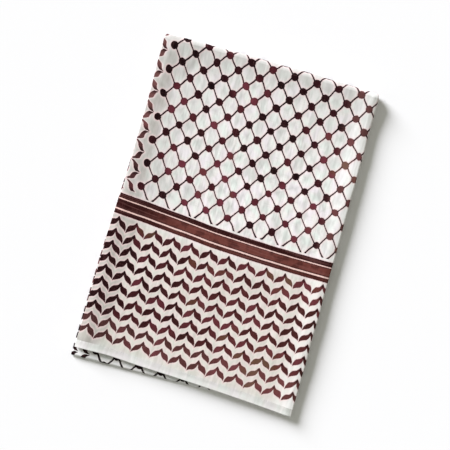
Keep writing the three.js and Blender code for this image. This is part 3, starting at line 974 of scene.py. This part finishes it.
HIDDEN_START = -170.0  # from here the inner layers are a piece of their own
MIDDLE_FOLD = (0.0, 11.0, -1.2)
ASKEW = 0.01  # how far the inner layers lie out of square
INSIDE_SAG, SAG_AT, SAG_REACH = 2.8, -40, 50
KNOT_AT = (-100, -226.8, 757.2)  # x, y and v of a knot near the middle fold
INSIDE_SHIFT = -1.7
EASE = 1.03  # the hidden layers lie a little slack


def under_layer(along):
    return on_flat(along, lambda height, thick: thick / 2, -1)


def inner_layer(along):
    return on_flat(along, lambda height, thick: 1.5 * thick + GAP, 1)


def second_layer(along):
    return on_flat(along, lambda height, thick: height - 1.5 * thick - GAP, -1)


def middle_turn(x):
    """Where the middle fold's turn starts and its radius at the strip's middle."""
    edge = end_line(MIDDLE_FOLD, x)
    thick = layer_thickness(packet_height(x, edge))
    radius = (thick + GAP) / 2
    return edge + radius + thick / 2, radius, thick


def around_middle_fold(angle):
    def stop(x):
        start, radius, thick = middle_turn(x)
        y = start - radius * math.sin(angle)
        z = thick + GAP / 2 - radius * math.cos(angle)
        return y, z, thick, -math.sin(angle) + 0 * x, -math.cos(angle) + 0 * x
    return stop


def inside_place(x, y):
    at_x, at_y, v = KNOT_AT
    v = v + (y - at_y) * mix(1, EASE, smooth(y, -200, -150)) + ASKEW * (x - at_x)
    return x + INSIDE_SHIFT, v + INSIDE_SAG * bell(x - SAG_AT, SAG_REACH)


def middle_turn_start(x):
    return middle_turn(x)[0]


def hidden_start(x):
    return 0 * x + HIDDEN_START


def middle_turn_v(x):
    start, radius, thick = middle_turn(x)
    return inside_place(x, start)[1] - np.pi * (radius + thick / 2)


def under_place(x, y):
    top, end = top_turn_start(x), middle_turn_start(x)
    u_top, v_top = over_top(np.pi)(x, y)
    share = (top - y) / (top - end)
    return mix(u_top, x + INSIDE_SHIFT, share), mix(v_top, middle_turn_v(x), share)


def around_middle(angle):
    def flat(x, y):
        radius = middle_turn(x)[1] + middle_turn(x)[2] / 2
        return x + INSIDE_SHIFT, middle_turn_v(x) + angle * radius
    return flat


UNDER_CREASES = [
    (-60, 150, 118, 160, 15, -0.7),
    (70, 90, 104, 190, 17, -0.8),
    (-110, 20, 96, 150, 13, -0.6),
    (20, -20, 84, 140, 16, -0.7),
    (120, -90, 99, 130, 14, -0.6),
    (-50, -140, 77, 120, 15, -0.8),
    (60, -190, 12, 110, 12, -0.5),
    (-20, 215, 4, 170, 11, -0.5),
]


def under_ripple(x, y):
    inwards = np.minimum(x - left_edge(y), right_edge(y) - x)
    ends = np.minimum(top_turn_start(x) - y, y - middle_turn_start(x))
    fade = smooth(inwards, 0, 14) * smooth(ends, 0, 16)
    return fade * (creased(x, y, UNDER_CREASES) - np.abs(rumple(x, y, 8.4, 0.3)))


def under_set_back(y):
    return (0.6 * float(smooth(y, 60, 120)) - 0.9 * float(smooth(-y, 40, 90)), 0.8)


def inside_ripple(x, y):
    return smooth(y, -241, -225) * rumple(x, y, 5.7, 0.2)


under_stations = []
for share in 0.5 - 0.5 * np.cos(np.linspace(0, np.pi, 111)[:-1]):
    along = between(top_turn_start, middle_turn_start, share)
    under_stations.append(
        station(under_layer(along), under_set_back(at_middle(along)), under_place, under_ripple))
for angle in np.linspace(0, np.pi, 15):
    set_back = mix(np.array(under_set_back(-240.0)), np.array((-0.7, 2.4)), smooth(angle, 1.9, 3.14))
    under_stations.append(station(around_middle_fold(angle), set_back, around_middle(angle)))
for share in np.linspace(0, 1, 13)[1:]:
    along = between(middle_turn_start, hidden_start, share)
    under_stations.append(
        station(inner_layer(along), (mix(-0.7, 2.2, share), 2.4), inside_place, inside_ripple))

under = printed_piece("under_voile", under_stations, STRETCHES)
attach(under, "root")
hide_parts("under_panel")


# ---- The inner layers ------------------------------------------------------------------------
# The two doubled layers inside the packet and the turn that joins them under the top fold. Only
# their folded sides show, so the voile is as plain as it can be between them.

HIDDEN_STRETCHES = {"tuck": 2, "turn": 6, "upper": 40, "fold": 10, "lower": 40}
SECOND_HEM = (17.0, 4.5, 4.0)
CLOTH_END = 2 * MIDDLE_V + 236


def around_inner_turn(angle):
    def stop(x):
        height = packet_height(x, top_fold(x))
        thick = layer_thickness(height)
        radius = height / 2 - 1.5 * thick - GAP
        y = top_turn_start(x) + radius * math.sin(angle)
        z = height / 2 - radius * math.cos(angle)
        return y, z, thick, -math.sin(angle) + 0 * x, math.cos(angle) + 0 * x
    return stop


def second_place(x, y):
    return x + INSIDE_SHIFT, CLOTH_END - (y - end_line(SECOND_HEM, x)) * EASE


def inner_turn_place(angle):
    def flat(x, y):
        start = inside_place(x, top_turn_start(x))[1]
        end = second_place(x, top_turn_start(x))[1]
        return x + INSIDE_SHIFT, mix(start, end, angle / np.pi)
    return flat


def second_set_back(y):
    return (2.0 + wandering(y, 1.7), 1.8 + wandering(y, 4.1))


def inner_set_back(y):
    fade = smooth(y, HIDDEN_START, HIDDEN_START + 30)
    return (2.2 + fade * wandering(y, 7.3), 2.4 + fade * wandering(y, 9.9))


def inner_station(along):
    return station(inner_layer(along), inner_set_back(at_middle(along)), inside_place)


def second_station(along):
    return station(second_layer(along), second_set_back(at_middle(along)), second_place)


to_top = [between(hidden_start, top_turn_start, share) for share in np.sin(np.linspace(0, np.pi / 2, 46))]
inner_stations = [inner_station(along) for along in to_top]
for angle in np.linspace(0, np.pi, 13)[1:-1]:
    set_back = mix(np.array(inner_set_back(230.0)), np.array(second_set_back(230.0)), angle / np.pi)
    inner_stations.append(station(around_inner_turn(angle), set_back, inner_turn_place(angle)))
inner_stations += [second_station(along) for along in to_top[::-1]]

inner = printed_piece("inner_voile", inner_stations, HIDDEN_STRETCHES)
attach(inner, "root")
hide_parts("hidden_layers")


# ---- The second end and its hem --------------------------------------------------------------
# The other short end of the cloth, just under the first and a little askew to it, with the same
# turned and stitched hem.

second_stations = [second_station(between(hidden_start, past_hem(SECOND_HEM), share))
                   for share in np.linspace(0, 1, 12)]
second_end = printed_piece("second_end_voile", second_stations, HIDDEN_STRETCHES)

second_hem = hem_piece("second_hem_voile", hem_stations(
    SECOND_HEM, second_layer, second_set_back(-230.0), second_place)[::-1])
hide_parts("second_end_hem")
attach(second_end, "root")
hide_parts("second_end_panel")


# ---- The room: a pale floor, soft light and the camera ---------------------------------------
# The packet lies on a plain white table under one large soft lamp at its upper left, with bright
# walls all round. The camera looks straight down, with the packet turned a little to the side.

FLOOR, FLOOR_Z = 4.0, -0.0002  # metres from the middle, and just clear of the cloth
floor_mesh = bpy.data.meshes.new("floor")
floor_mesh.from_pydata([(-FLOOR, -FLOOR, FLOOR_Z), (FLOOR, -FLOOR, FLOOR_Z), (FLOOR, FLOOR, FLOOR_Z),
                        (-FLOOR, FLOOR, FLOOR_Z)], [], [(0, 1, 2, 3)])
floor = placed("floor", floor_mesh)
floor_white, table = new_material("white table")
table.inputs["Base Color"].default_value = (0.93, 0.93, 0.935, 1)
table.inputs["Roughness"].default_value = 0.9
table.inputs["Specular IOR Level"].default_value = 0.1
floor_mesh.materials.append(floor_white)

world = bpy.data.worlds.new("bright walls")
world.use_nodes = True
background = next(node for node in world.node_tree.nodes if node.type == "BACKGROUND")
background.inputs["Color"].default_value = (1.0, 1.0, 0.88, 1)
background.inputs["Strength"].default_value = 0.33
bpy.context.scene.world = world
bpy.context.scene.view_settings.view_transform = "Standard"

SUN_AZIMUTH, SUN_HEIGHT, SUN_ACROSS = math.radians(149), math.radians(21.5), math.radians(27)
sun_data = bpy.data.lights.new("window", "SUN")
sun_data.energy = 6.63
sun_data.color = (0.95, 0.95, 1.0)
sun_data.angle = SUN_ACROSS
sun = placed("window", sun_data)
direction = Vector((math.cos(SUN_AZIMUTH) * math.cos(SUN_HEIGHT),
                    math.sin(SUN_AZIMUTH) * math.cos(SUN_HEIGHT), math.sin(SUN_HEIGHT)))
sun.location = direction
sun.rotation_euler = direction.to_track_quat("Z", "Y").to_euler()

CAMERA_TURN = math.radians(16)
camera_data = bpy.data.cameras.new("camera")
camera_data.lens = 120
camera = placed("camera", camera_data)
right = Vector((math.cos(CAMERA_TURN), math.sin(CAMERA_TURN), 0))
up = Vector((-math.sin(CAMERA_TURN), math.cos(CAMERA_TURN), 0))
camera.location = right * -0.0033 + up * -0.00115 + Vector((0, 0, 2.157))
camera.rotation_euler = (0, 0, CAMERA_TURN)
bpy.context.scene.camera = camera
